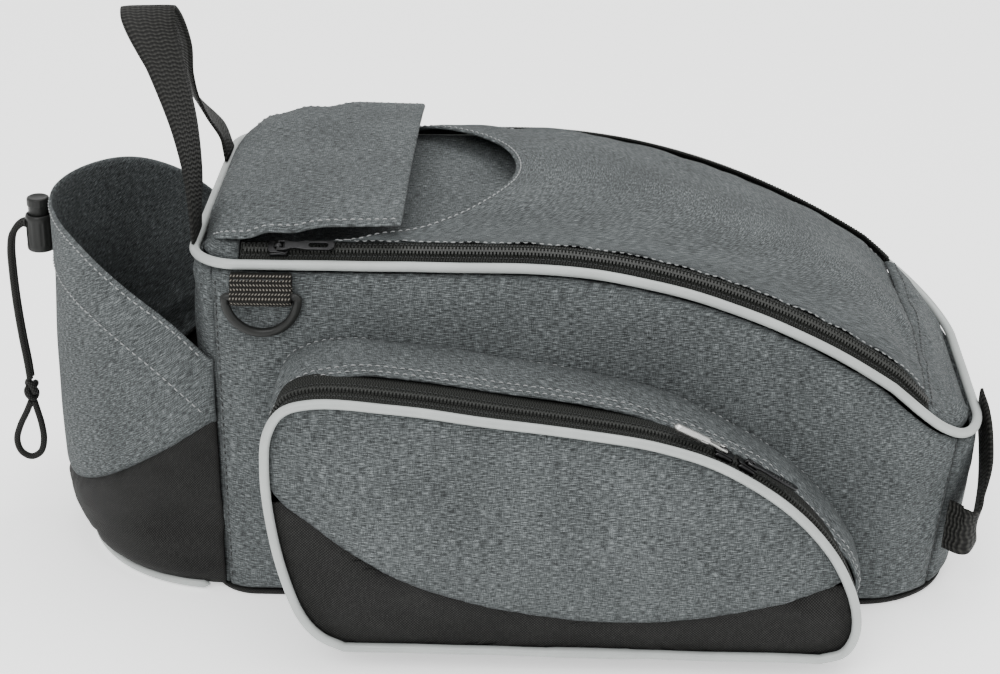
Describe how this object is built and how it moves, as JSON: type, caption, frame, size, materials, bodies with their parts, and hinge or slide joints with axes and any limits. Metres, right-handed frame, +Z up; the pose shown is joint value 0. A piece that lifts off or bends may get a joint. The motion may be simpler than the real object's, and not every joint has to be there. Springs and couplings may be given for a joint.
{
  "type": "bicycle trunk bag",
  "caption": "Wedge-shaped padded trunk bag for a rear rack with a zipped lid, a top flap, a zipped pocket on each side, an open end pocket, loops and D-rings.",
  "frame": {"origin": "underside of the base panel, under the middle of the body", "axes": "+X to the low rear end, -Y to the near side, +Z up"},
  "size_m": [0.4879, 0.3266, 0.2723],
  "materials": {
    "grey_cloth": "heathered blue-grey woven polyester",
    "black_cloth": "near-black ribbed nylon",
    "zip_tape": "black woven zip tape",
    "zip_coil": "black nylon coil",
    "reflective_piping": "silver-grey reflective piping",
    "webbing": "black woven webbing",
    "ring_plastic": "black moulded plastic",
    "zip_metal": "gunmetal plated",
    "puller_metal": "dull grey plated",
    "lock_plastic": "black moulded plastic",
    "drawcord": "black braided cord"
  },
  "bodies": {
    "bag": {"side_panel_near": "grey_cloth", "side_panel_far": "grey_cloth", "front_panel": "grey_cloth", "rear_panel": "grey_cloth", "lid_front": "grey_cloth", "lid_tail": "grey_cloth", "lid_panel": "grey_cloth", "lid_cover": "grey_cloth", "top_flap": "grey_cloth", "pocket_casing_near": "grey_cloth", "pocket_casing_far": "grey_cloth", "pocket_face_upper_near": "grey_cloth", "pocket_face_upper_far": "grey_cloth", "end_pocket_upper": "grey_cloth", "base_panel": "black_cloth", "pocket_face_lower_near": "black_cloth", "pocket_face_lower_far": "black_cloth", "end_pocket_lower": "black_cloth", "end_pocket_base": "black_cloth", "lid_zip_tape_near": "zip_tape", "lid_zip_tape_far": "zip_tape", "pocket_zip_tape_near": "zip_tape", "pocket_zip_tape_far": "zip_tape", "lid_zip_coil_near": "zip_coil", "lid_zip_coil_far": "zip_coil", "pocket_zip_coil_near": "zip_coil", "pocket_zip_coil_far": "zip_coil", "top_piping": "reflective_piping", "pocket_piping_near": "reflective_piping", "pocket_piping_far": "reflective_piping", "end_pocket_piping": "reflective_piping", "front_handle_loop": "webbing", "rear_loop": "webbing", "d_ring_tab_near": "webbing", "d_ring_tab_far": "webbing", "lid_near_slider": "zip_metal", "lid_far_slider": "zip_metal", "pocket_near_front_slider": "zip_metal", "pocket_near_rear_slider": "zip_metal", "pocket_far_front_slider": "zip_metal", "pocket_far_rear_slider": "zip_metal", "cord_lock_barrel": "lock_plastic", "drawcord_strand_near": "drawcord", "drawcord_strand_far": "drawcord", "drawcord_loop": "drawcord", "drawcord_knot": "drawcord"},
    "d_ring_near": {"d_ring_near": "ring_plastic"},
    "d_ring_far": {"d_ring_far": "ring_plastic"},
    "lid_near_puller": {"lid_near_puller": "puller_metal"},
    "lid_far_puller": {"lid_far_puller": "puller_metal"},
    "pocket_near_front_puller": {"pocket_near_front_puller": "puller_metal"},
    "pocket_near_rear_puller": {"pocket_near_rear_puller": "puller_metal"},
    "pocket_far_front_puller": {"pocket_far_front_puller": "puller_metal"},
    "pocket_far_rear_puller": {"pocket_far_rear_puller": "puller_metal"},
    "cord_lock_plunger": {"cord_lock_plunger": "lock_plastic"}
  },
  "joints": [
    {"name": "d_ring_near_swing", "type": "hinge", "parent": "bag", "child": "d_ring_near", "pos_m": [-0.1515, -0.09777, 0.1612], "axis": [-1, 0, 0], "range_deg": [0, 120]},
    {"name": "d_ring_far_swing", "type": "hinge", "parent": "bag", "child": "d_ring_far", "pos_m": [0.13058, 0.09784, 0.10759], "axis": [0.8446, -0.001, -0.5353], "range_deg": [0, 120]},
    {"name": "lid_near_puller_flip", "type": "hinge", "parent": "bag", "child": "lid_near_puller", "pos_m": [-0.144, -0.08731, 0.18264], "axis": [0, -0.8055, -0.5926], "range_deg": [0, 120]},
    {"name": "lid_far_puller_flip", "type": "hinge", "parent": "bag", "child": "lid_far_puller", "pos_m": [-0.144, 0.08731, 0.18264], "axis": [0, -0.8055, 0.5926], "range_deg": [0, 120]},
    {"name": "pocket_near_front_puller_flip", "type": "hinge", "parent": "bag", "child": "pocket_near_front_puller", "pos_m": [0.05855, -0.14247, 0.10996], "axis": [-0.0237, 0.9986, -0.0478], "range_deg": [0, 90]},
    {"name": "pocket_near_rear_puller_flip", "type": "hinge", "parent": "bag", "child": "pocket_near_rear_puller", "pos_m": [0.06924, -0.14246, 0.104], "axis": [0.0294, -0.9984, 0.0485], "range_deg": [0, 90]},
    {"name": "pocket_far_front_puller_flip", "type": "hinge", "parent": "bag", "child": "pocket_far_front_puller", "pos_m": [0.05855, 0.14247, 0.10996], "axis": [0.0237, 0.9986, 0.0478], "range_deg": [0, 90]},
    {"name": "pocket_far_rear_puller_flip", "type": "hinge", "parent": "bag", "child": "pocket_far_rear_puller", "pos_m": [0.06924, 0.14246, 0.104], "axis": [-0.0294, -0.9984, -0.0485], "range_deg": [0, 90]},
    {"name": "cord_lock_press", "type": "slide", "parent": "bag", "child": "cord_lock_plunger", "axis": [0, 0, -1], "range_m": [0, 0.0037], "stiffness_N_per_m": 1000, "springref_m": -0.002}
  ]
}
